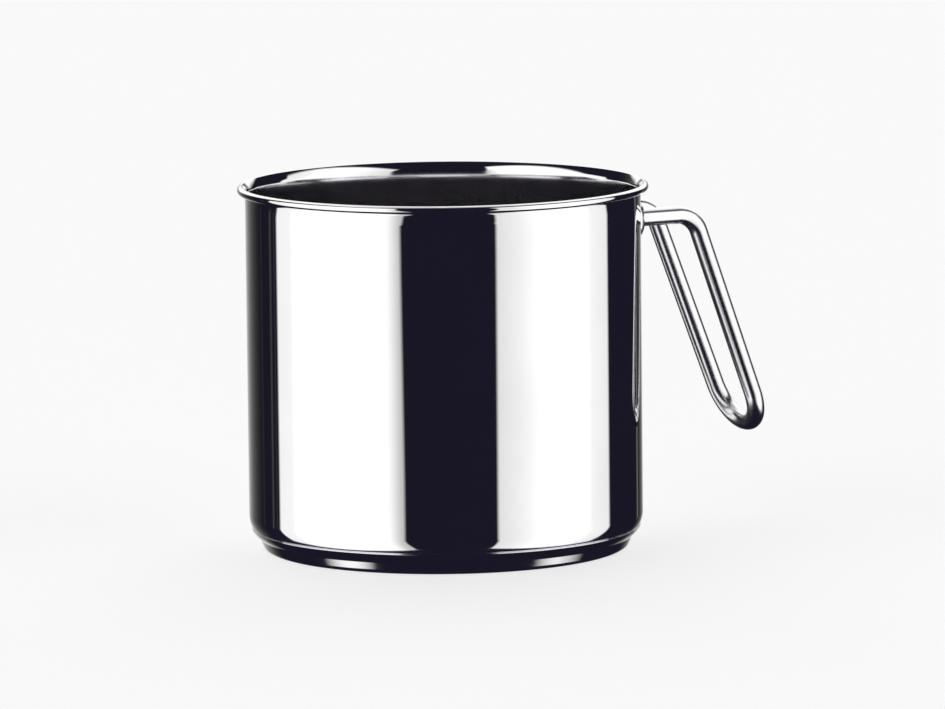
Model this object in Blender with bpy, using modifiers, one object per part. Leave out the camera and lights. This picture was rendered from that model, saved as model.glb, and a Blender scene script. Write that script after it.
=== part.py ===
"""A tall milk pot in stainless steel, with a curled rim, a sandwich base and a bent rod handle.

The pot stands on the XY plane with its axis on Z. The handle points along +X, and the whole
pot is the same on both sides of the XZ plane. All lengths are in metres.
"""

from math import acos, atan2, cos, pi, radians, sin, sqrt, tan

import bmesh
import bpy
from mathutils import Quaternion, Vector

# Body, drawn from one sheet
POT_HEIGHT = 0.1312
BODY_RADIUS = 0.0707
SHEET = 0.0007
CORNER_RADIUS = 0.0100
BASE_THICKNESS = 0.0029

# Rim: the wall flares out and its edge curls over
FLARE_REACH = 0.0009
FLARE_HEIGHT = 0.00345
CURL_RADIUS = 0.00135
CURL_TURN = radians(262)

# Sandwich base: a thin steel cup round an aluminium disc. Its side leans in towards the
# underside, and above a kink its lip follows the body's corner
CAPSULE_INSET = 0.0036
CAPSULE_SHEET = 0.0005
CAPSULE_LEAN = radians(24)
CAPSULE_EDGE_RADIUS = 0.00265
CAPSULE_WRAP = radians(60)

# Handle, one round rod bent into a loop
ROD_RADIUS = 0.00325
HANDLE_DROP_FROM_RIM = 0.0153
HANDLE_STANDOFF = 0.0227
HANDLE_LEG = 0.0852
HANDLE_LEAN = radians(20.7)
HANDLE_TOP_SPACING = 0.0315
HANDLE_END_SPACING = 0.0270
HANDLE_BEND_RADIUS = 0.0100

# Handle plate on the wall, an oval round the two roots of the rod
PLATE_SIDE_BORDER = 0.0065
PLATE_BORDER = 0.0035
PLATE_CROWN = 0.0024
PLATE_EDGE = 0.0013

# Gap kept between pieces that touch, and how far a cutter runs past what it cuts
FIT_GAP = 0.0003
CUT_OVERRUN = 0.0050

# Fineness of the round shapes
TURN_STEPS = 72
CORNER_STEPS = 7
FLARE_STEPS = 4
CURL_STEPS = 10
EDGE_STEPS = 4
CROWN_STEPS = 6
OUTLINE_STEPS = 8
BEND_STEPS = 5
END_STEPS = 8
ROD_BEVEL_RESOLUTION = 5

# Merging only joins points that are meant to be one
MERGE = 0.000001

STEEL_COLOUR = (0.78, 0.78, 0.80, 1.0)
STEEL_ROUGHNESS = 0.08
ALUMINIUM_COLOUR = (0.80, 0.80, 0.79, 1.0)
ALUMINIUM_ROUGHNESS = 0.35

# Worked out from the sizes above, with points as (radius from the axis, height)
WALL_MID_RADIUS = BODY_RADIUS - SHEET / 2
CORNER_CENTRE = Vector((BODY_RADIUS - CORNER_RADIUS, BASE_THICKNESS + CORNER_RADIUS))
CAPSULE_SEAT_RADIUS = CORNER_RADIUS + FIT_GAP
CAPSULE_LIP_RADIUS = CAPSULE_SEAT_RADIUS + CAPSULE_SHEET
CAPSULE_KINK_ANGLE = -acos((CORNER_RADIUS - CAPSULE_INSET) / CAPSULE_LIP_RADIUS)
CAPSULE_SIDE_REACH = CAPSULE_LIP_RADIUS * cos(CAPSULE_KINK_ANGLE + CAPSULE_LEAN)
CAPSULE_SIDE_DROP = (CORNER_CENTRE.y - CAPSULE_EDGE_RADIUS) * sin(CAPSULE_LEAN)
CAPSULE_EDGE_REACH = CAPSULE_SIDE_REACH - CAPSULE_EDGE_RADIUS - CAPSULE_SIDE_DROP
CAPSULE_EDGE_CENTRE = Vector((
    CORNER_CENTRE.x + CAPSULE_EDGE_REACH / cos(CAPSULE_LEAN),
    CAPSULE_EDGE_RADIUS,
))
HANDLE_HEIGHT = POT_HEIGHT - HANDLE_DROP_FROM_RIM
PLATE_INNER_RADIUS = BODY_RADIUS + FIT_GAP
PLATE_OUTER_RADIUS = PLATE_INNER_RADIUS + PLATE_CROWN
PLATE_HALF_HEIGHT = ROD_RADIUS + PLATE_BORDER
PLATE_HALF_WIDTH = HANDLE_TOP_SPACING / 2 + ROD_RADIUS + PLATE_SIDE_BORDER


def clear_scene():
    for item in list(bpy.data.objects):
        bpy.data.objects.remove(item, do_unlink=True)


def new_collection(name):
    collection = bpy.data.collections.new(name)
    bpy.context.scene.collection.children.link(collection)
    return collection


def metal(name, colour, roughness):
    material = bpy.data.materials.new(name)
    material.use_nodes = True
    shader = material.node_tree.nodes["Principled BSDF"]
    shader.inputs["Base Color"].default_value = colour
    shader.inputs["Metallic"].default_value = 1.0
    shader.inputs["Roughness"].default_value = roughness
    material.diffuse_color = colour
    return material


def steel(name):
    return metal(name, STEEL_COLOUR, STEEL_ROUGHNESS)


def place(item, collection, material=None):
    collection.objects.link(item)
    if material is not None:
        item.data.materials.append(material)
    return item


def as_cutter(item):
    item.hide_render = True
    item.display_type = "WIRE"
    return item


def cut(item, cutter, operation):
    modifier = item.modifiers.new("cut", "BOOLEAN")
    modifier.operation = operation
    modifier.object = cutter
    return item


def arc(centre, radius, start, end, steps):
    """Points on an arc, with both its ends."""
    points = []
    for step in range(steps + 1):
        angle = start + (end - start) * step / steps
        points.append(centre + Vector((cos(angle), sin(angle))) * radius)
    return points


def turned(name, profile, collection, material):
    """A profile turned round Z."""
    vertices = [(point.x, 0, point.y) for point in profile]
    edges = [(index, index + 1) for index in range(len(profile) - 1)]
    mesh = bpy.data.meshes.new(name)
    mesh.from_pydata(vertices, edges, [])
    item = place(bpy.data.objects.new(name, mesh), collection, material)
    screw = item.modifiers.new("turn", "SCREW")
    screw.axis = "Z"
    screw.angle = 2 * pi
    screw.steps = TURN_STEPS
    screw.render_steps = TURN_STEPS
    screw.use_merge_vertices = True
    screw.merge_threshold = MERGE
    screw.use_smooth_shade = True
    return item


def corner_side(radius, floor_height):
    """Floor and rounded corner on one face of the body's sheet, out from the axis."""
    corner = arc(CORNER_CENTRE, radius, -pi / 2, 0, CORNER_STEPS)
    return [Vector((0, floor_height))] + corner


def rim_side(offset):
    """Flare and curl on one face of the sheet. A positive offset is the inside of the pot."""
    curl_radius = CURL_RADIUS - SHEET / 2
    curl_centre = Vector((WALL_MID_RADIUS + FLARE_REACH + curl_radius, POT_HEIGHT - CURL_RADIUS))
    flare_turn = 2 * atan2(FLARE_REACH, FLARE_HEIGHT)
    flare_radius = curl_radius + FLARE_HEIGHT / sin(flare_turn)
    flare_centre = Vector((WALL_MID_RADIUS + flare_radius, curl_centre.y - FLARE_HEIGHT))
    meeting = pi - flare_turn
    flare = arc(flare_centre, flare_radius + offset, pi, meeting, FLARE_STEPS)
    curl = arc(curl_centre, curl_radius + offset, meeting, meeting - CURL_TURN, CURL_STEPS)
    return flare + curl[1:]


def make_body(collection):
    inside = corner_side(CORNER_RADIUS - SHEET, BASE_THICKNESS + SHEET) + rim_side(SHEET / 2)
    outside = corner_side(CORNER_RADIUS, BASE_THICKNESS) + rim_side(-SHEET / 2)
    return turned("pot_body", inside + outside[::-1], collection, steel("body_steel"))


def kink_angle(inset, radius):
    """Where the leaning side, set in by an amount, meets an arc round the body's corner."""
    return -CAPSULE_LEAN - acos((CAPSULE_SIDE_REACH - inset) / radius)


def capsule_edge(inset):
    """Rounded lower edge of the cup, from the underside to the leaning side."""
    radius = CAPSULE_EDGE_RADIUS - inset
    return arc(CAPSULE_EDGE_CENTRE, radius, -pi / 2, -CAPSULE_LEAN, EDGE_STEPS)


def capsule_face(inset, radius):
    """One face of the steel cup, from the axis to its lip round the body's corner."""
    lip_start = kink_angle(inset, radius)
    lip_end = CAPSULE_WRAP - pi / 2
    lip = arc(CORNER_CENTRE, radius, lip_start, lip_end, EDGE_STEPS)
    return [Vector((0, inset))] + capsule_edge(inset) + lip


def make_capsule(collection):
    inside = capsule_face(CAPSULE_SHEET, CAPSULE_SEAT_RADIUS)
    outside = capsule_face(0, CAPSULE_LIP_RADIUS)
    return turned("base_capsule", inside + outside[::-1], collection, steel("capsule_steel"))


def make_core(collection):
    """The disc fills the cup and follows the body's corner above it."""
    inset = CAPSULE_SHEET + FIT_GAP
    edge_angle = kink_angle(inset, CAPSULE_SEAT_RADIUS)
    profile = [Vector((0, BASE_THICKNESS - FIT_GAP))]
    profile += arc(CORNER_CENTRE, CAPSULE_SEAT_RADIUS, -pi / 2, edge_angle, EDGE_STEPS)
    profile += capsule_edge(inset)[::-1]
    profile.append(Vector((0, inset)))
    material = metal("core_aluminium", ALUMINIUM_COLOUR, ALUMINIUM_ROUGHNESS)
    return turned("base_core", profile, collection, material)


def crowned_section():
    """Section of a ring that is upright against the wall and crowned on its outside."""
    rise = PLATE_CROWN - PLATE_EDGE
    crown_radius = (PLATE_HALF_HEIGHT ** 2 + rise ** 2) / (2 * rise)
    centre = Vector((PLATE_OUTER_RADIUS - crown_radius, HANDLE_HEIGHT))
    spread = acos((crown_radius - rise) / crown_radius)
    head = Vector((PLATE_INNER_RADIUS, HANDLE_HEIGHT + PLATE_HALF_HEIGHT))
    foot = Vector((PLATE_INNER_RADIUS, HANDLE_HEIGHT - PLATE_HALF_HEIGHT))
    return [head] + arc(centre, crown_radius, spread, -spread, CROWN_STEPS) + [foot, head]


def plate_outline():
    """An oval with round ends, seen along X."""
    reach = Vector((PLATE_HALF_WIDTH - PLATE_HALF_HEIGHT, 0))
    right = arc(reach, PLATE_HALF_HEIGHT, -pi / 2, pi / 2, OUTLINE_STEPS)
    left = arc(-reach, PLATE_HALF_HEIGHT, pi / 2, 3 * pi / 2, OUTLINE_STEPS)
    return right + left


def poly_spline(curve, points):
    spline = curve.splines.new("POLY")
    spline.points.add(len(points) - 1)
    for target, point in zip(spline.points, points):
        target.co = (*point.to_3d(), 1)
    return spline


def mesh_from_curve(item, collection):
    """A curve object made into a mesh object of the same name, with its caps joined on."""
    bpy.context.view_layer.update()
    graph = bpy.context.evaluated_depsgraph_get()
    mesh = bpy.data.meshes.new_from_object(item.evaluated_get(graph))
    work = bmesh.new()
    work.from_mesh(mesh)
    bmesh.ops.remove_doubles(work, verts=work.verts, dist=MERGE)
    work.to_mesh(mesh)
    work.free()
    name = item.name
    matrix = item.matrix_world.copy()
    bpy.data.objects.remove(item, do_unlink=True)
    solid = place(bpy.data.objects.new(name, mesh), collection)
    solid.matrix_world = matrix
    return solid


def make_plate_cutter(collection):
    """A prism with the plate's outline, from the axis out through the ring's +X side."""
    reach = PLATE_OUTER_RADIUS + CUT_OVERRUN
    curve = bpy.data.curves.new("plate_outline", "CURVE")
    curve.dimensions = "2D"
    curve.fill_mode = "BOTH"
    curve.extrude = reach / 2
    poly_spline(curve, plate_outline()).use_cyclic_u = True
    item = place(bpy.data.objects.new("plate_outline", curve), collection)
    item.rotation_euler = (pi / 2, 0, pi / 2)
    item.location = (reach / 2, 0, HANDLE_HEIGHT)
    return as_cutter(mesh_from_curve(item, collection))


def make_plate(collection, cutters):
    plate = turned("handle_plate", crowned_section(), collection, steel("plate_steel"))
    return cut(plate, make_plate_cutter(cutters), "INTERSECT")


def rounded_path(corners, radii, steps):
    """Straight runs joined by arcs, each touching both of its corner's runs."""
    points = [corners[0]]
    for index, (radius, count) in enumerate(zip(radii, steps), start=1):
        corner = corners[index]
        arriving = (corner - corners[index - 1]).normalized()
        leaving = (corners[index + 1] - corner).normalized()
        turn = arriving.angle(leaving)
        axis = arriving.cross(leaving).normalized()
        start = corner - arriving * radius * tan(turn / 2)
        centre = start + axis.cross(arriving) * radius
        for step in range(count + 1):
            points.append(centre + Quaternion(axis, turn * step / count) @ (start - centre))
    points.append(corners[-1])
    return points


def without_repeats(points):
    kept = [points[0]]
    for point in points[1:]:
        if (point - kept[-1]).length > MERGE:
            kept.append(point)
    return kept


def handle_path():
    """Centre line of the rod, from inside the pot round the loop and back."""
    top_half = HANDLE_TOP_SPACING / 2
    end_half = HANDLE_END_SPACING / 2
    bend_reach = BODY_RADIUS + HANDLE_STANDOFF
    end_reach = bend_reach + HANDLE_LEG * sin(HANDLE_LEAN)
    end_height = HANDLE_HEIGHT - HANDLE_LEG * cos(HANDLE_LEAN)
    near = [
        Vector((0, -top_half, HANDLE_HEIGHT)),
        Vector((bend_reach, -top_half, HANDLE_HEIGHT)),
        Vector((end_reach, -end_half, end_height)),
    ]
    far = [Vector((point.x, -point.y, point.z)) for point in near[::-1]]
    end_turn = (near[2] - near[1]).angle(far[0] - near[2])
    end_radius = end_half / tan(end_turn / 2)
    radii = [HANDLE_BEND_RADIUS, end_radius, end_radius, HANDLE_BEND_RADIUS]
    steps = [BEND_STEPS, END_STEPS, END_STEPS, BEND_STEPS]
    return without_repeats(rounded_path(near + far, radii, steps))


def make_rod_cope(collection):
    """A drum that trims the rod's roots to the round of the plate."""
    radius = PLATE_OUTER_RADIUS + FIT_GAP
    depth = 2 * (PLATE_HALF_HEIGHT + CUT_OVERRUN)
    drum = bmesh.new()
    bmesh.ops.create_cone(
        drum,
        cap_ends=True,
        segments=TURN_STEPS,
        radius1=radius,
        radius2=radius,
        depth=depth,
    )
    mesh = bpy.data.meshes.new("rod_cope")
    drum.to_mesh(mesh)
    drum.free()
    item = place(bpy.data.objects.new("rod_cope", mesh), collection)
    item.location = (0, 0, HANDLE_HEIGHT)
    return as_cutter(item)


def make_rod(collection, cutters):
    curve = bpy.data.curves.new("handle_rod", "CURVE")
    curve.dimensions = "3D"
    curve.bevel_depth = ROD_RADIUS
    curve.bevel_resolution = ROD_BEVEL_RESOLUTION
    curve.use_fill_caps = True
    poly_spline(curve, handle_path())
    item = place(bpy.data.objects.new("handle_rod", curve), collection)
    rod = mesh_from_curve(item, collection)
    rod.data.materials.append(steel("rod_steel"))
    rod.data.shade_smooth()
    return cut(rod, make_rod_cope(cutters), "DIFFERENCE")


def main():
    clear_scene()
    parts = new_collection("milk_boiler")
    cutters = new_collection("cutters")
    make_body(parts)
    make_core(parts)
    make_capsule(parts)
    make_plate(parts, cutters)
    make_rod(parts, cutters)


main()
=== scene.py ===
"""The looks of a tall milk pot in mirror-polished steel, in a plain studio.

Lengths are in metres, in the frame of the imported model: the pot stands on the XY plane with
its axis on Z, and its handle points along +X.
"""

from math import acos, atan2, ceil, cos, pi, radians, sin, sqrt, tan

import bmesh
import bpy
from mathutils import Matrix, Quaternion, Vector


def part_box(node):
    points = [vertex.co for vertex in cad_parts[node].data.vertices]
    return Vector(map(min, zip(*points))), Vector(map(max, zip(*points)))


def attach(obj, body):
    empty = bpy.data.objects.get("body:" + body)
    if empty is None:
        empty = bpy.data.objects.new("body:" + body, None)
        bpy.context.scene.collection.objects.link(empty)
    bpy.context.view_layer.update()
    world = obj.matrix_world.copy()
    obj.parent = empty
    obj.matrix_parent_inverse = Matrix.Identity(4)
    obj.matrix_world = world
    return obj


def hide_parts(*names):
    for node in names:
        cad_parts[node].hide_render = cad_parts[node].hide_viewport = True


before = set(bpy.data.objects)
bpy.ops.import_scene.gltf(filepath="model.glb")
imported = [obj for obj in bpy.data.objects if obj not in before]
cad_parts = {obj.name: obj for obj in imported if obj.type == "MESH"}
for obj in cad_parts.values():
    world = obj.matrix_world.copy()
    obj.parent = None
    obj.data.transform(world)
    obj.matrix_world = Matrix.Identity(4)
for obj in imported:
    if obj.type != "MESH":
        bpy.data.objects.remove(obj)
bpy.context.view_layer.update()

# Sizes read from the frame
BODY_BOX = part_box("pot_body")
PLATE_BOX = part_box("handle_plate")
ROD_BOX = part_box("handle_rod")
POT_HEIGHT = BODY_BOX[1].z
RIM_RADIUS = BODY_BOX[1].x
BASE_THICKNESS = BODY_BOX[0].z
HANDLE_HEIGHT = (PLATE_BOX[0].z + PLATE_BOX[1].z) / 2
HANDLE_REACH = ROD_BOX[1].x
HANDLE_FOOT = ROD_BOX[0].z

# Body sheet and its bends. The wall flares out by arcs of these tilts, turns over a tight
# bend and ends in a bead
BODY_RADIUS = 0.0707
SHEET = 0.0007
CORNER_RADIUS = 0.0100
FLARE_RADII = (0.0350, 0.0030)
FLARE_TILTS = (0, radians(6), radians(26.5), radians(32))
LIP_BEND_RADIUS = 0.00045
BEAD_RADIUS = 0.0014
BEAD_END = radians(-111)
RIM_SLACK = 0.00002

# Steel cup under the body: a lip round the body's corner, a kink, and a side that leans in
LIP_GAP = 0.00003
LIP_SHEET = 0.00045
LIP_WRAP = radians(60)
KINK_REACH = 0.0064
KINK_RADIUS = 0.0022
CUP_LEAN = radians(24)
CUP_EDGE_RADIUS = 0.00265

# Handle plate and rod
ROD_RADIUS = 0.00325
PLATE_CROWN = 0.0033
PLATE_EDGE = 0.0005
PLATE_SINK = 0.0002
CROWN_POWER = 1.8
SHARP_ANGLE = radians(40)
HANDLE_LEAN = radians(20.7)
HANDLE_TOP_HALF = 0.01575
HANDLE_END_HALF = 0.0135
HANDLE_BEND_RADIUS = 0.0100
ROOT_SINK = 0.0006

# Fineness of the round shapes, and the distances under which points count as one
TURN_STEPS = 288
ARC_STEP = radians(3)
FINE_ARC_STEP = radians(8)
ROD_SIDES = 64
PLATE_RINGS = 20
PLATE_END_STEPS = 36
PLATE_SIDE_STEPS = 24
SAME_POINT = 0.00003
MERGE_DISTANCE = 0.000003

# Camera, in a frame turned so that it looks along +Y
VIEW_TURN = radians(27.5)
CAMERA_DISTANCE = 2.900
CAMERA_HEIGHT = 0.4584
CAMERA_SIDE = 0.01005
AIM_HEIGHT = 0.06935
CAMERA_ROLL = radians(0.60)
CAMERA_LENS = 311.2
SENSOR_WIDTH = 36.0
CAMERA_CLIP = 18.0

CORNER_CENTRE = Vector((BODY_RADIUS - CORNER_RADIUS, BASE_THICKNESS + CORNER_RADIUS))
INNER_RADIUS = BODY_RADIUS - SHEET


# Profiles: lists of (point, normal), with points as (radius from the axis, height)
def heading(angle):
    """A direction at an angle above the outward one."""
    return Vector((cos(angle), sin(angle)))


def arc(centre, radius, start, end, side, step=ARC_STEP):
    """An arc from start to end. Side is 1 where the normal points away from its centre."""
    count = max(2, ceil(abs(end - start) / step))
    profile = []
    for index in range(count + 1):
        outward = heading(start + (end - start) * index / count)
        profile.append((centre + outward * radius, outward * side))
    return profile


def flare_arcs(top):
    """Centre, radius, start and end of the inner face's arcs up to a point at the top."""
    spans = list(zip(FLARE_TILTS, FLARE_TILTS[1:]))
    radii = list(FLARE_RADII)
    reach = top.x - INNER_RADIUS
    for radius, (low, high) in zip(radii, spans):
        reach -= radius * (cos(low) - cos(high))
    radii.append(reach / (cos(spans[-1][0]) - cos(spans[-1][1])))
    arcs = []
    for radius, (low, high) in zip(radii[::-1], spans[::-1]):
        centre = top - heading(pi - high) * radius
        arcs.insert(0, (centre, radius, pi - low, pi - high))
        top = centre + heading(pi - low) * radius
    return arcs


def body_profile():
    """From the axis on the inner floor, up the inside, round the rim and down the outside."""
    lean = pi - FLARE_TILTS[-1]
    bead_reach = RIM_RADIUS - RIM_SLACK - BEAD_RADIUS
    bead_centre = Vector((bead_reach, POT_HEIGHT - RIM_SLACK - BEAD_RADIUS))
    bend_centre = bead_centre + Vector((0, BEAD_RADIUS - LIP_BEND_RADIUS))
    flare_top = bend_centre + heading(lean) * LIP_BEND_RADIUS
    inner_bead = BEAD_RADIUS - SHEET
    flare_gap = (bead_centre - flare_top).dot(-heading(lean)) - SHEET
    inner_start = lean - acos(flare_gap / inner_bead)
    end_centre = bead_centre + heading(BEAD_END) * (BEAD_RADIUS - SHEET / 2)
    floor_up = Vector((0, 1))
    profile = [(Vector((0, BASE_THICKNESS + SHEET)), floor_up)]
    profile += arc(CORNER_CENTRE, CORNER_RADIUS - SHEET, -pi / 2, 0, -1)
    for centre, radius, start, end in flare_arcs(flare_top):
        profile += arc(centre, radius, start, end, 1)[:-1]
    profile += arc(bend_centre, LIP_BEND_RADIUS, lean, pi / 2, 1, FINE_ARC_STEP)
    profile += arc(bead_centre, BEAD_RADIUS, pi / 2, BEAD_END, 1, FINE_ARC_STEP)[1:]
    profile += arc(end_centre, SHEET / 2, BEAD_END, BEAD_END - pi, 1, FINE_ARC_STEP)[1:-1]
    profile += arc(bead_centre, inner_bead, BEAD_END, inner_start, -1, FINE_ARC_STEP)
    for centre, radius, start, end in flare_arcs(flare_top)[::-1]:
        profile += arc(centre, radius - SHEET, end, start, -1)[1:]
    profile += arc(CORNER_CENTRE, CORNER_RADIUS, 0, -pi / 2, 1)
    profile.append((Vector((0, BASE_THICKNESS)), -floor_up))
    return profile


def side_angle(reach, inset, radius):
    """Where the cup's leaning side, set in by an amount, meets an arc round the corner."""
    return -CUP_LEAN - acos((reach - inset) / radius)


def cup_sizes():
    """How far the side is from the corner's centre, and the centre of the lower edge."""
    lip_radius = CORNER_RADIUS + LIP_GAP + LIP_SHEET
    kink_angle = -acos(KINK_REACH / lip_radius)
    reach = lip_radius * cos(kink_angle + CUP_LEAN)
    drop = (CORNER_CENTRE.y - CUP_EDGE_RADIUS) * sin(CUP_LEAN)
    edge_reach = (reach - CUP_EDGE_RADIUS - drop) / cos(CUP_LEAN)
    return reach, Vector((CORNER_CENTRE.x + edge_reach, CUP_EDGE_RADIUS))


def cup_face(inset, side):
    """Underside and edge of the cup's outer face, or of a face set in from it."""
    edge_centre = cup_sizes()[1]
    flat = (Vector((0, inset)), Vector((0, -side)))
    return [flat] + arc(edge_centre, CUP_EDGE_RADIUS - inset, -pi / 2, -CUP_LEAN, side)


def cup_profile():
    """From the axis under the pot, out round the edge, up to the lip, and back inside."""
    seat = CORNER_RADIUS + LIP_GAP
    lip_radius = seat + LIP_SHEET
    lip_angle = LIP_WRAP - pi / 2
    half = LIP_SHEET / 2
    reach = cup_sizes()[0]
    kink = side_angle(reach, -KINK_RADIUS, lip_radius + KINK_RADIUS)
    kink_centre = CORNER_CENTRE + heading(kink) * (lip_radius + KINK_RADIUS)
    lip_centre = CORNER_CENTRE + heading(lip_angle) * (seat + half)
    profile = cup_face(0, 1)
    profile += arc(kink_centre, KINK_RADIUS, pi - CUP_LEAN, kink + pi, -1)
    profile += arc(CORNER_CENTRE, lip_radius, kink, lip_angle, 1)[1:]
    profile += arc(lip_centre, half, lip_angle, lip_angle + pi, 1, FINE_ARC_STEP)[1:-1]
    profile += arc(CORNER_CENTRE, seat, lip_angle, side_angle(reach, LIP_SHEET, seat), -1)
    return profile + cup_face(LIP_SHEET, -1)[::-1]


def disc_profile():
    """The disc between the cup and the body's floor and corner."""
    inset = LIP_SHEET + LIP_GAP
    seat = CORNER_RADIUS + LIP_GAP
    edge_angle = side_angle(cup_sizes()[0], inset, seat)
    profile = [(Vector((0, BASE_THICKNESS - LIP_GAP)), Vector((0, 1)))]
    profile += arc(CORNER_CENTRE, seat, -pi / 2, edge_angle, -1)
    return profile + cup_face(inset, 1)[::-1]


def skin(work, rings):
    """Faces between neighbouring rings of corners. A ring may be a single point."""
    for ring, following in zip(rings, rings[1:]):
        count = max(len(ring), len(following))
        for index in range(count):
            after = (index + 1) % count
            corners = [ring[index % len(ring)], ring[after % len(ring)]]
            corners += [following[after % len(following)], following[index % len(following)]]
            work.faces.new(dict.fromkeys(corners))


def finished(name, work, material, node, normals=None):
    """A mesh piece on the pot's one body, in the place of its CAD node."""
    bmesh.ops.recalc_face_normals(work, faces=work.faces)
    mesh = bpy.data.meshes.new(name)
    work.to_mesh(mesh)
    work.free()
    mesh.shade_smooth()
    if normals:
        mesh.normals_split_custom_set_from_vertices(normals)
    else:
        mesh.set_sharp_from_angle(angle=SHARP_ANGLE)
    mesh.materials.append(material)
    piece = bpy.data.objects.new(name, mesh)
    bpy.context.scene.collection.objects.link(piece)
    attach(piece, "root")
    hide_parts(node)
    return piece


def turned(name, profile, material, node):
    """The profile turned round Z, with its first and last points on the axis."""
    work = bmesh.new()
    normals = []
    rings = []
    for point, normal in profile:
        count = TURN_STEPS if point.x > 0 else 1
        ring = []
        for index in range(count):
            angle = 2 * pi * index / TURN_STEPS
            ring.append(work.verts.new((point.x * cos(angle), point.x * sin(angle), point.y)))
            normals.append((normal.x * cos(angle), normal.x * sin(angle), normal.y))
        rings.append(ring)
    skin(work, rings)
    return finished(name, work, material, node, normals)


# Handle
def bend(points, corner, before, after, radius, step=ARC_STEP):
    """Adds an arc that touches both runs at a corner."""
    arriving = (corner - before).normalized()
    leaving = (after - corner).normalized()
    turn = arriving.angle(leaving)
    axis = arriving.cross(leaving).normalized()
    start = corner - arriving * radius * tan(turn / 2)
    centre = start + axis.cross(arriving) * radius
    count = ceil(turn / step)
    for index in range(count + 1):
        swing = Quaternion(axis, turn * index / count)
        points.append((centre + swing @ (start - centre), swing @ arriving))


def handle_path():
    """Centre line of the rod and its direction, root to root."""
    end_height = HANDLE_FOOT + ROD_RADIUS
    leg_drop = HANDLE_HEIGHT - end_height
    end_reach = HANDLE_REACH - ROD_RADIUS
    bend_reach = end_reach - leg_drop * tan(HANDLE_LEAN)
    root_reach = sqrt((BODY_RADIUS + PLATE_CROWN - ROOT_SINK) ** 2 - HANDLE_TOP_HALF ** 2)
    near = [
        Vector((root_reach, -HANDLE_TOP_HALF, HANDLE_HEIGHT)),
        Vector((bend_reach, -HANDLE_TOP_HALF, HANDLE_HEIGHT)),
        Vector((end_reach, -HANDLE_END_HALF, end_height)),
    ]
    far = [Vector((point.x, -point.y, point.z)) for point in near[::-1]]
    end_turn = (near[2] - near[1]).angle(far[0] - near[2])
    end_radius = HANDLE_END_HALF / tan(end_turn / 2)
    out = Vector((1, 0, 0))
    path = [(near[0], out)]
    bend(path, near[1], near[0], near[2], HANDLE_BEND_RADIUS)
    bend(path, near[2], near[1], far[0], end_radius)
    bend(path, far[0], near[2], far[1], end_radius)
    bend(path, far[1], far[0], far[2], HANDLE_BEND_RADIUS)
    path.append((far[2], -out))
    kept = [path[0]]
    for spot in path[1:]:
        if (spot[0] - kept[-1][0]).length > SAME_POINT:
            kept.append(spot)
    return kept


def make_rod(material):
    """A round rod swept along the handle's path."""
    work = bmesh.new()
    normals = []
    rings = []
    path = handle_path()
    across = Vector((0, 1, 0))
    direction = path[0][1]
    for centre, ahead in path:
        across = direction.rotation_difference(ahead) @ across
        direction = ahead
        upward = ahead.cross(across)
        ring = []
        for index in range(ROD_SIDES):
            angle = 2 * pi * index / ROD_SIDES
            outward = across * cos(angle) + upward * sin(angle)
            ring.append(work.verts.new(centre + outward * ROD_RADIUS))
            normals.append(tuple(outward))
        rings.append(ring)
    skin(work, rings)
    work.faces.new(rings[0])
    work.faces.new(rings[-1])
    return finished("rod_handle", work, material, "handle_rod", normals)


def plate_outline():
    """Points round the oval with the nearest point of its middle line, as (y, z) pairs."""
    half_height = (PLATE_BOX[1].z - PLATE_BOX[0].z) / 2
    reach = PLATE_BOX[1].y - half_height
    spots = []
    for side in (1, -1):
        for index in range(PLATE_END_STEPS):
            angle = pi * (index / PLATE_END_STEPS - 1 / 2)
            middle = Vector((side * reach, 0))
            edge = middle + Vector((side * cos(angle), side * sin(angle))) * half_height
            spots.append((edge, middle))
        for index in range(PLATE_SIDE_STEPS):
            along = side * reach * (1 - 2 * index / PLATE_SIDE_STEPS)
            spots.append((Vector((along, side * half_height)), Vector((along, 0))))
    return spots


def on_wall(spot, rise):
    """A point over the wall's own point at (y, height above the handle's middle)."""
    out = sqrt(BODY_RADIUS ** 2 - spot.x ** 2)
    share = 1 + rise / BODY_RADIUS
    return Vector((out * share, spot.x * share, HANDLE_HEIGHT + spot.y))


def make_plate(material):
    """An oval plate that follows the wall and is crowned towards its middle line."""
    work = bmesh.new()
    spots = plate_outline()
    levels = [(1, -PLATE_SINK), (0, -PLATE_SINK)]
    for index in range(PLATE_RINGS + 1):
        inward = 1 - cos(pi / 2 * index / PLATE_RINGS)
        crown = (1 - (1 - inward) ** CROWN_POWER) ** (1 / CROWN_POWER)
        levels.append((inward, PLATE_EDGE + (PLATE_CROWN - PLATE_EDGE) * crown))
    rings = []
    for inward, rise in levels:
        ring = []
        for edge, middle in spots:
            ring.append(work.verts.new(on_wall(edge.lerp(middle, inward), rise)))
        rings.append(ring)
    skin(work, rings)
    bmesh.ops.remove_doubles(work, verts=work.verts, dist=MERGE_DISTANCE)
    return finished("oval_plate", work, material, "handle_plate")


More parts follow.
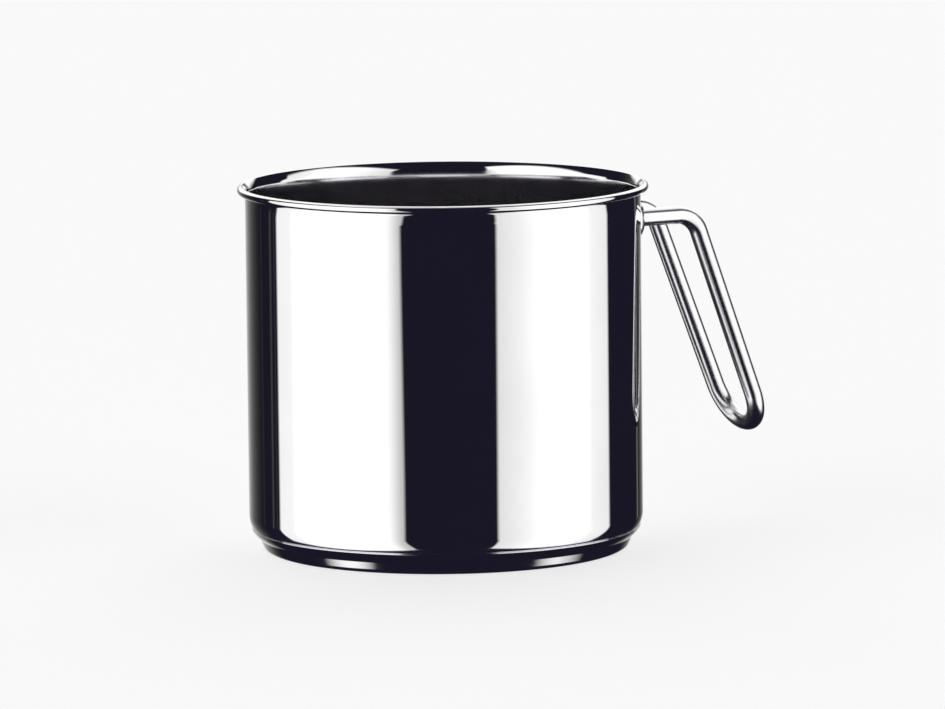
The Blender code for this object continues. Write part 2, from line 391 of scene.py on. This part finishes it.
# Materials
class Tree:
    """Short calls for building a node tree."""

    def __init__(self, owner):
        owner.use_nodes = True
        self.tree = owner.node_tree
        self.tree.nodes.clear()

    def add(self, kind, settings=None, **inputs):
        node = self.tree.nodes.new(kind)
        for name, value in (settings or {}).items():
            setattr(node, name, value)
        for name, value in inputs.items():
            self.feed(node.inputs[name.replace("_", " ")], value)
        return node

    def feed(self, socket, value):
        if isinstance(value, bpy.types.NodeSocket):
            self.tree.links.new(value, socket)
        else:
            socket.default_value = value

    def math(self, operation, first, second=0.0):
        node = self.add("ShaderNodeMath", {"operation": operation})
        self.feed(node.inputs[0], first)
        self.feed(node.inputs[1], second)
        return node.outputs[0]

    def vector(self, operation, first, second):
        node = self.add("ShaderNodeVectorMath", {"operation": operation})
        self.feed(node.inputs[0], first)
        self.feed(node.inputs[1], second)
        return node.outputs[0]

    def spread(self, value, low, high, to_low=0.0, to_high=1.0):
        node = self.add("ShaderNodeMapRange", Value=value)
        self.feed(node.inputs["From Min"], low)
        self.feed(node.inputs["From Max"], high)
        self.feed(node.inputs["To Min"], to_low)
        self.feed(node.inputs["To Max"], to_high)
        return node.outputs["Result"]

    def curve(self, value, points):
        """A broken line through (value, result) points, level beyond its ends."""
        total = points[0][1]
        for (low, start), (high, end) in zip(points, points[1:]):
            total = self.math("ADD", self.spread(value, low, high, 0, end - start), total)
        return total

    def least(self, *values):
        total = values[0]
        for value in values[1:]:
            total = self.math("MINIMUM", total, value)
        return total

    def greatest(self, *values):
        total = values[0]
        for value in values[1:]:
            total = self.math("MAXIMUM", total, value)
        return total


WHITE = (1, 1, 1, 1)
XY_ONLY = (1, 1, 0)
STEEL = (0.90, 0.90, 0.905, 1)
STEEL_STAINED = (0.86, 0.86, 0.87, 1)
STEEL_INSIDE = (0.895, 0.87, 0.93, 1)
ALUMINIUM = (0.80, 0.80, 0.79, 1)
# Least roughness and what wear adds to it
BODY_FINISH = (0.02, 0.02)
CUP_FINISH = (0.03, 0.03)
HANDLE_FINISH = (0.20, 0.04)
ALUMINIUM_FINISH = (0.30, 0.15)
# The inside is duller and has a tint. Each fades between two distances from the inner face
INSIDE_ROUGHNESS = 0.068
DULL_REACH = (0.00035, 0.00014)
TINT_REACH = (0.00007, 0.000014)
# Noise for the polishing rings, the cloudiness and the grain of the cast metal
RING_SCALE = 2600
RING_DETAIL = 2.0
RING_SPREAD = (0.35, 0.75)
CLOUD_SCALE = 28
CLOUD_DETAIL = 3.0
CLOUD_SPREAD = (0.40, 0.75)
GRAIN_SCALE = 650
GRAIN_DETAIL = 3.0
GRAIN_SPREAD = (0.3, 0.7)


def inside_share(tree, radius, reach):
    """How much a point counts as inside: 0 past the first distance, 1 within the second."""
    return tree.spread(radius, *(INNER_RADIUS + distance for distance in reach))


def noise(tree, place, scale, detail):
    return tree.add("ShaderNodeTexNoise", Vector=place, Scale=scale, Detail=detail).outputs["Fac"]


def mixed_colour(tree, share, first, second):
    """A colour between two others."""
    mix = tree.add("ShaderNodeMix", {"data_type": "RGBA"})
    tree.feed(mix.inputs["Factor"], share)
    tree.feed(mix.inputs["A"], first)
    tree.feed(mix.inputs["B"], second)
    return mix.outputs["Result"]


def metal(tree, colour, roughness):
    shader = tree.add("ShaderNodeBsdfPrincipled", Metallic=1.0, Roughness=roughness)
    tree.feed(shader.inputs["Base Color"], colour)
    tree.add("ShaderNodeOutputMaterial", Surface=shader.outputs[0])


def polished_steel(name, finish, has_inside=False):
    """Mirror steel with a faint cloudiness and fine rings left by the polishing wheel."""
    least, wear = finish
    material = bpy.data.materials.new(name)
    tree = Tree(material)
    place = tree.add("ShaderNodeTexCoord").outputs["Object"]
    split = tree.add("ShaderNodeSeparateXYZ", Vector=place)
    across = tree.vector("MULTIPLY", place, XY_ONLY)
    radius = tree.add("ShaderNodeVectorMath", {"operation": "LENGTH"}, Vector=across)
    radius = radius.outputs["Value"]
    rings = tree.add("ShaderNodeCombineXYZ")
    tree.feed(rings.inputs["X"], tree.math("MULTIPLY", radius, RING_SCALE))
    tree.feed(rings.inputs["Y"], tree.math("MULTIPLY", split.outputs["Z"], RING_SCALE))
    swirl = tree.vector("MULTIPLY", place, (CLOUD_SCALE, CLOUD_SCALE, CLOUD_SCALE))
    swirl = tree.vector("ADD", swirl, rings.outputs[0])
    hair = noise(tree, swirl, 1.0, RING_DETAIL)
    cloud = tree.spread(noise(tree, place, CLOUD_SCALE, CLOUD_DETAIL), *CLOUD_SPREAD)
    colour = mixed_colour(tree, cloud, STEEL, STEEL_STAINED)
    rough = tree.spread(hair, *RING_SPREAD, least, least + wear)
    if has_inside:
        dull = tree.math("MULTIPLY", inside_share(tree, radius, DULL_REACH), INSIDE_ROUGHNESS)
        rough = tree.math("ADD", rough, dull)
        tint = inside_share(tree, radius, TINT_REACH)
        colour = mixed_colour(tree, tint, colour, STEEL_INSIDE)
    metal(tree, colour, rough)
    return material


def cast_aluminium():
    """Dull metal with a fine grain."""
    material = bpy.data.materials.new("cast_aluminium")
    tree = Tree(material)
    place = tree.add("ShaderNodeTexCoord").outputs["Object"]
    grain = noise(tree, place, GRAIN_SCALE, GRAIN_DETAIL)
    least, wear = ALUMINIUM_FINISH
    metal(tree, ALUMINIUM, tree.spread(grain, *GRAIN_SPREAD, least, least + wear))
    return material


# Studio, by direction: azimuth in degrees from the camera with + to its right, and elevation.
# A flat soft box stands on each side, dark gaps lie between them, and a white sheet hangs
# behind the pot and over it. A soft box's foot and top are (azimuth it faces, height as a
# share of its distance), its sides (elevation, azimuth) and its levels (azimuth, brightness)
DARK = (0.0112, 0.0099, 0.0207)
LEFT_PANEL = {
    "foot": (-53.3, -1.269),
    "top": (-42, 1.15),
    "left": ((-4, -113.5), (4, -113), (20, -116.5)),
    "right": ((-40, -21), (-20, -23.2), (-8.5, -23.9), (-7, -24.8), (31, -28), (44.7, -31.4)),
    "levels": ((-113, 1.0), (-101, 1.05), (-98, 1.2), (-35, 1.2), (-32, 1.08), (-25.5, 0.62)),
}
RIGHT_PANEL = {
    "foot": (62.5, -1.163),
    "top": (54, 1.10),
    "left": ((-12, 31), (-8.8, 30.5), (-7, 30.95)),
    "right": ((-4, 111), (15, 113)),
    "levels": ((29, 0.80), (46, 1.0), (60, 1.2), (91, 1.2), (96, 1.03), (110, 0.92)),
}
EDGE_SOFTNESS = 1.0
PANEL_SOFTNESS = 0.07
# The sheet's foot is (azimuth, elevation) and its levels are (elevation, brightness)
SHEET_FOOT = (
    (-157, 4), (-148, 11), (-138, 22), (-125, 40), (-106, 52), (-70, 58), (-30, 76), (0, 78),
    (45, 75), (70, 70), (106, 62), (125, 42), (138, 22), (148, 11), (157, 4),
)
SHEET_LEVELS = ((50, 1.15), (65, 0.85), (75, 0.52), (90, 0.42))
SHEET_SOFTNESS = 3
# The bright table behind the pot and what is above it. It fades over one width on the left and
# another on the right, and down to nothing between the elevations of its edge
TABLE_AZIMUTH = 180
TABLE_LEVEL = 0.9
TABLE_WIDTHS = (17, 11)
TABLE_WIDTH_CHANGE = (-10, 10)
TABLE_EDGE = (-30, -20)
TABLE_FADE_POWER = 1.5
# Thin strips that the wall shows in its dark parts: azimuth, half width and level. Their foot
# and their top fade between two elevations each
STRIPS = ((-133, 1.8, 0.03), (-121, 2.2, 0.055), (-116.5, 1.8, 0.03), (151.5, 2.4, 0.17))
STRIP_FOOT = (-13, -9)
STRIP_TOP = (4, 0)
# Floor under the pot
FLOOR_RADIUS = 6.0
FLOOR_DROP = 0.00003
FLOOR_COLOUR = (0.55, 0.55, 0.55, 1)
FLOOR_GLOW = 0.62


def straight_edge(tree, azimuth, facing, height):
    """Tangent of the elevation of a level edge, from its value where the edge is nearest."""
    swing = tree.math("RADIANS", tree.math("SUBTRACT", azimuth, facing))
    return tree.math("MULTIPLY", tree.math("COSINE", swing), height)


def panel(tree, azimuth, elevation, rise, shape):
    """Brightness of a flat soft box, which is 0 past its edges."""
    over = tree.math("SUBTRACT", rise, straight_edge(tree, azimuth, *shape["foot"]))
    under = tree.math("SUBTRACT", straight_edge(tree, azimuth, *shape["top"]), rise)
    past_left = tree.math("SUBTRACT", azimuth, tree.curve(elevation, shape["left"]))
    past_right = tree.math("SUBTRACT", tree.curve(elevation, shape["right"]), azimuth)
    mask = tree.least(
        tree.spread(over, 0, PANEL_SOFTNESS),
        tree.spread(under, 0, PANEL_SOFTNESS),
        tree.spread(past_left, -EDGE_SOFTNESS, EDGE_SOFTNESS),
        tree.spread(past_right, -EDGE_SOFTNESS, EDGE_SOFTNESS),
    )
    return tree.math("MULTIPLY", mask, tree.curve(azimuth, shape["levels"]))


def table(tree, azimuth, elevation):
    """The table behind the pot and what is above it, fading away to both sides."""
    width = tree.spread(azimuth, *TABLE_WIDTH_CHANGE, *TABLE_WIDTHS)
    from_back = tree.math("SUBTRACT", TABLE_AZIMUTH, tree.math("ABSOLUTE", azimuth))
    drop = tree.math("POWER", tree.math("DIVIDE", from_back, width), TABLE_FADE_POWER)
    fade = tree.math("EXPONENT", tree.math("MULTIPLY", drop, -1))
    return tree.math("MULTIPLY", fade, tree.spread(elevation, *TABLE_EDGE, 0, TABLE_LEVEL))


def strip(tree, azimuth, elevation, middle, half_width, level):
    """A thin upright light that fades to both sides."""
    away = tree.math("ABSOLUTE", tree.math("SUBTRACT", azimuth, middle))
    inside = tree.spread(away, 0, half_width, level, 0)
    over = tree.spread(elevation, *STRIP_FOOT)
    under = tree.spread(elevation, *STRIP_TOP)
    return tree.math("MULTIPLY", inside, tree.least(over, under))


def make_studio():
    """The light that falls on the pot, and the white backdrop that the camera sees."""
    world = bpy.data.worlds.new("studio")
    bpy.context.scene.world = world
    tree = Tree(world)
    direction = tree.add("ShaderNodeTexCoord").outputs["Generated"]
    facing = tree.add("ShaderNodeMapping", Vector=direction, Rotation=(0, 0, VIEW_TURN))
    split = tree.add("ShaderNodeSeparateXYZ", Vector=facing.outputs[0])
    front = tree.math("MULTIPLY", split.outputs["Y"], -1)
    azimuth = tree.math("DEGREES", tree.math("ARCTAN2", split.outputs["X"], front))
    height_angle = tree.math("ARCSINE", split.outputs["Z"])
    rise = tree.math("TANGENT", height_angle)
    elevation = tree.math("DEGREES", height_angle)
    above_foot = tree.math("SUBTRACT", elevation, tree.curve(azimuth, SHEET_FOOT))
    sheet = tree.spread(above_foot, 0, SHEET_SOFTNESS)
    light = tree.greatest(
        panel(tree, azimuth, elevation, rise, LEFT_PANEL),
        panel(tree, azimuth, elevation, rise, RIGHT_PANEL),
        tree.math("MULTIPLY", sheet, tree.curve(elevation, SHEET_LEVELS)),
        table(tree, azimuth, elevation),
        *(strip(tree, azimuth, elevation, *shape) for shape in STRIPS),
    )
    light = tree.vector("MAXIMUM", light, DARK)
    studio = tree.add("ShaderNodeBackground", Color=light)
    backdrop = tree.add("ShaderNodeBackground", Color=WHITE, Strength=1.0)
    # The steel mirrors the studio and not the backdrop: its dark bands are the studio's gaps
    ray = tree.add("ShaderNodeLightPath").outputs
    seen = tree.greatest(ray["Is Camera Ray"], ray["Is Transmission Ray"])
    mix = tree.add("ShaderNodeMixShader", Fac=seen)
    tree.feed(mix.inputs[1], studio.outputs[0])
    tree.feed(mix.inputs[2], backdrop.outputs[0])
    tree.add("ShaderNodeOutputWorld", Surface=mix.outputs[0])


def make_floor():
    """A pale floor that keeps the pot's shadow and reads as white to the camera."""
    work = bmesh.new()
    bmesh.ops.create_circle(work, cap_ends=True, segments=TURN_STEPS, radius=FLOOR_RADIUS)
    mesh = bpy.data.meshes.new("floor")
    work.to_mesh(mesh)
    work.free()
    floor = bpy.data.objects.new("floor", mesh)
    bpy.context.scene.collection.objects.link(floor)
    floor.location.z = -FLOOR_DROP
    floor.visible_glossy = False
    material = bpy.data.materials.new("floor")
    tree = Tree(material)
    ray = tree.add("ShaderNodeLightPath")
    glow = tree.math("MULTIPLY", ray.outputs["Is Camera Ray"], FLOOR_GLOW)
    diffuse = tree.add("ShaderNodeBsdfDiffuse", Color=FLOOR_COLOUR)
    emission = tree.add("ShaderNodeEmission", Color=WHITE, Strength=glow)
    total = tree.add("ShaderNodeAddShader")
    tree.feed(total.inputs[0], diffuse.outputs[0])
    tree.feed(total.inputs[1], emission.outputs[0])
    tree.add("ShaderNodeOutputMaterial", Surface=total.outputs[0])
    mesh.materials.append(material)


def make_camera():
    """A long lens in front of the pot, a little above it."""
    data = bpy.data.cameras.new("camera")
    data.lens = CAMERA_LENS
    data.sensor_width = SENSOR_WIDTH
    data.clip_end = CAMERA_CLIP
    camera = bpy.data.objects.new("camera", data)
    bpy.context.scene.collection.objects.link(camera)
    bpy.context.scene.camera = camera
    dip = atan2(CAMERA_HEIGHT - AIM_HEIGHT, CAMERA_DISTANCE)
    facing = Matrix.Rotation(-VIEW_TURN, 4, "Z")
    spot = Matrix.Translation((CAMERA_SIDE, -CAMERA_DISTANCE, CAMERA_HEIGHT))
    aim = Matrix.Rotation(pi / 2 - dip, 4, "X") @ Matrix.Rotation(-CAMERA_ROLL, 4, "Z")
    camera.matrix_world = facing @ spot @ aim


def main():
    make_camera()
    body_steel = polished_steel("body_steel", BODY_FINISH, has_inside=True)
    cup_steel = polished_steel("cup_steel", CUP_FINISH)
    handle_steel = polished_steel("handle_steel", HANDLE_FINISH)
    turned("turned_body", body_profile(), body_steel, "pot_body")
    turned("base_cup", cup_profile(), cup_steel, "base_capsule")
    turned("heat_disc", disc_profile(), cast_aluminium(), "base_core")
    make_plate(handle_steel)
    make_rod(handle_steel)
    make_floor()
    make_studio()
    bpy.context.scene.view_settings.view_transform = "Standard"


main()
